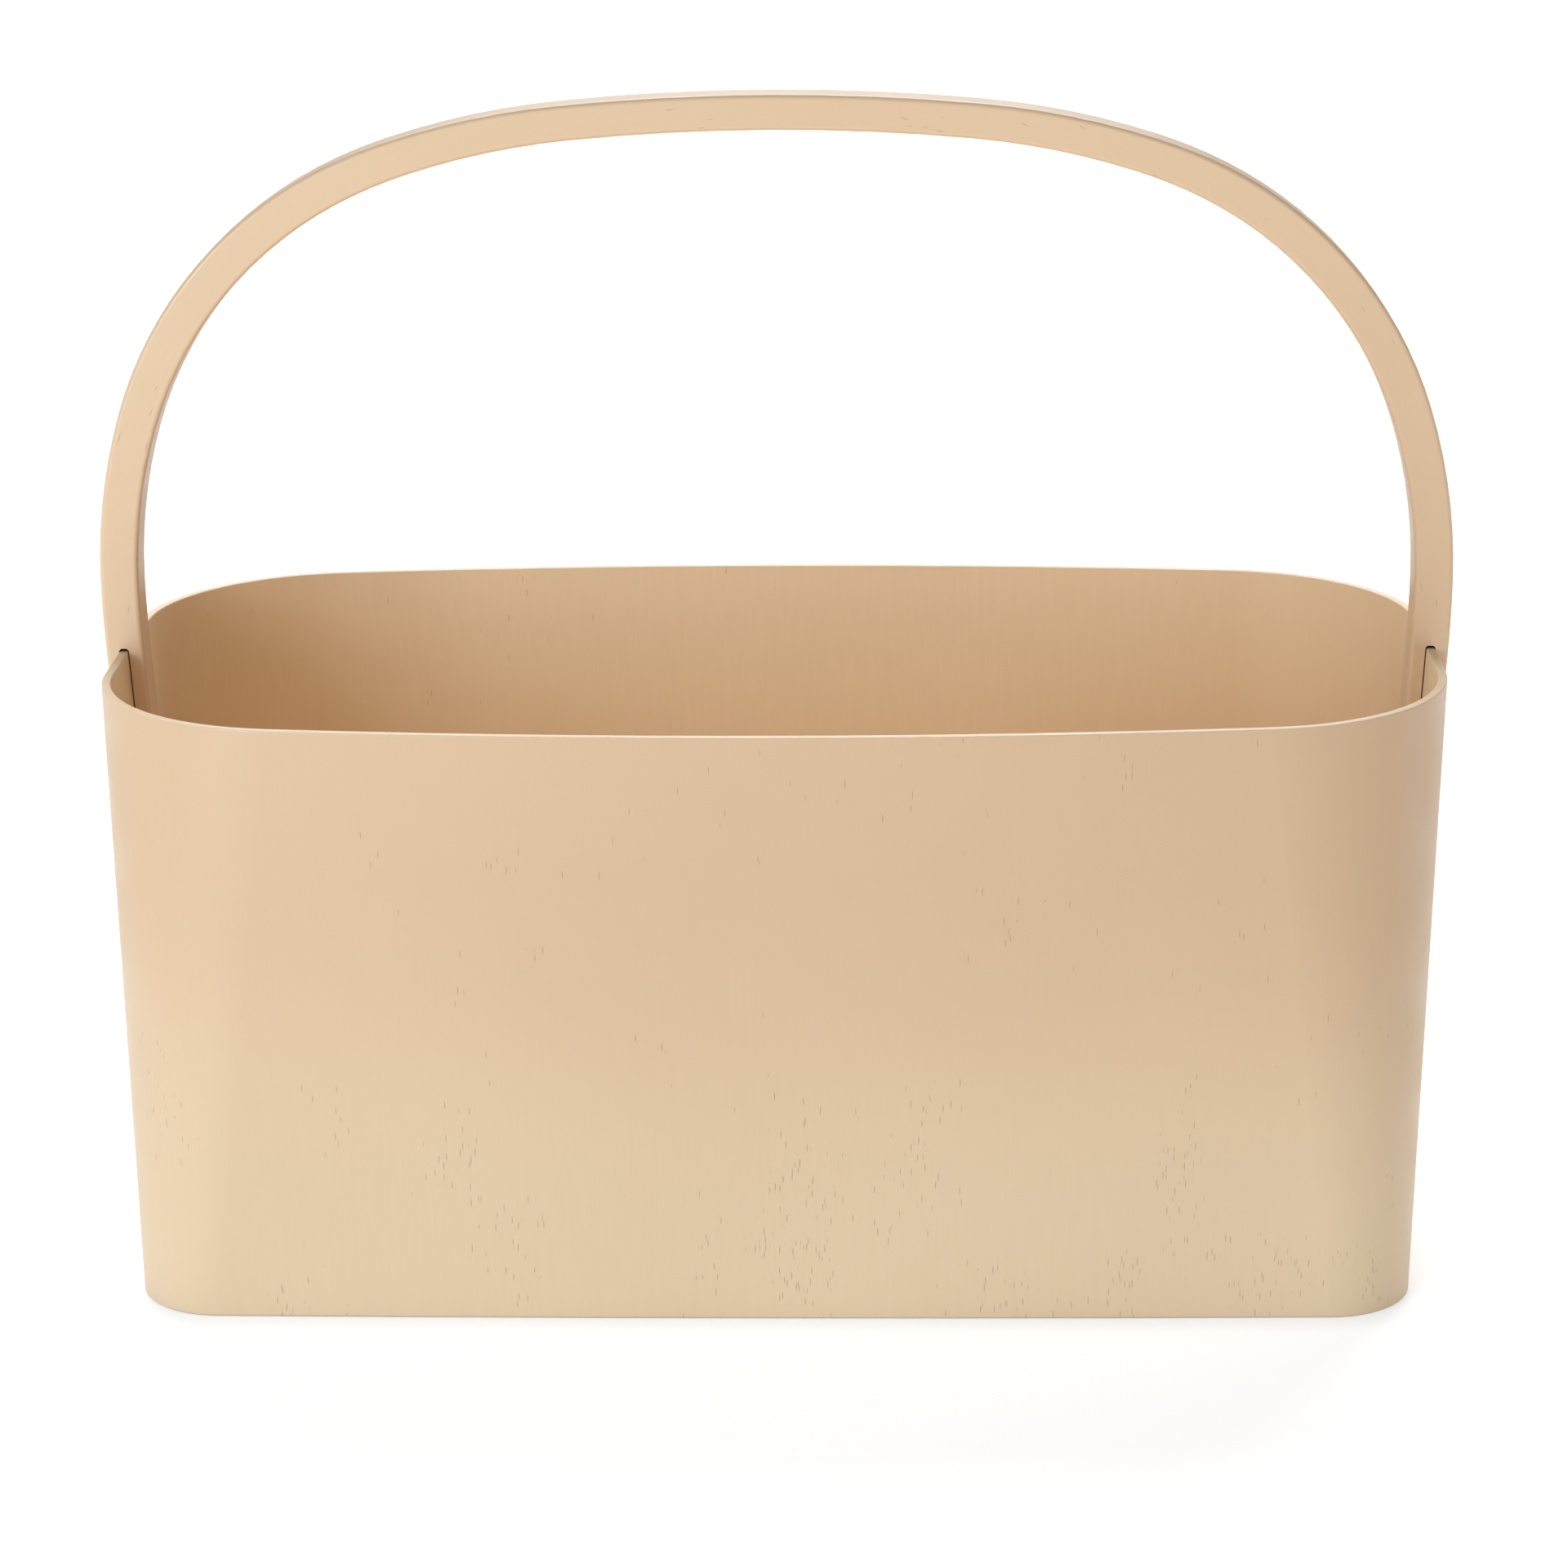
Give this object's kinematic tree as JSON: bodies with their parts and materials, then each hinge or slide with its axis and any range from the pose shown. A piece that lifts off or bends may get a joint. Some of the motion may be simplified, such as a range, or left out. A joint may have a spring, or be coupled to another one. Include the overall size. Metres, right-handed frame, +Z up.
{
  "type": "garden trug",
  "caption": "Tapered open-topped tub of thin painted plywood with a flat base and a fixed bent hoop handle across its length.",
  "frame": {"origin": "on the ground, under the middle of the tub", "axes": "+X along the tub and the hoop's span, +Y across the tub, +Z up"},
  "size_m": [0.4606, 0.2308, 0.39],
  "materials": {
    "painted_plywood": "satin paint over open-pored plywood",
    "painted_handle": "satin paint over bent laminated wood",
    "screw_steel": "zinc plated"
  },
  "bodies": {
    "root": {"wall_shell": "painted_plywood", "base_panel": "painted_plywood", "hoop_handle": "painted_handle", "handle_screws": "screw_steel"}
  },
  "joints": []
}
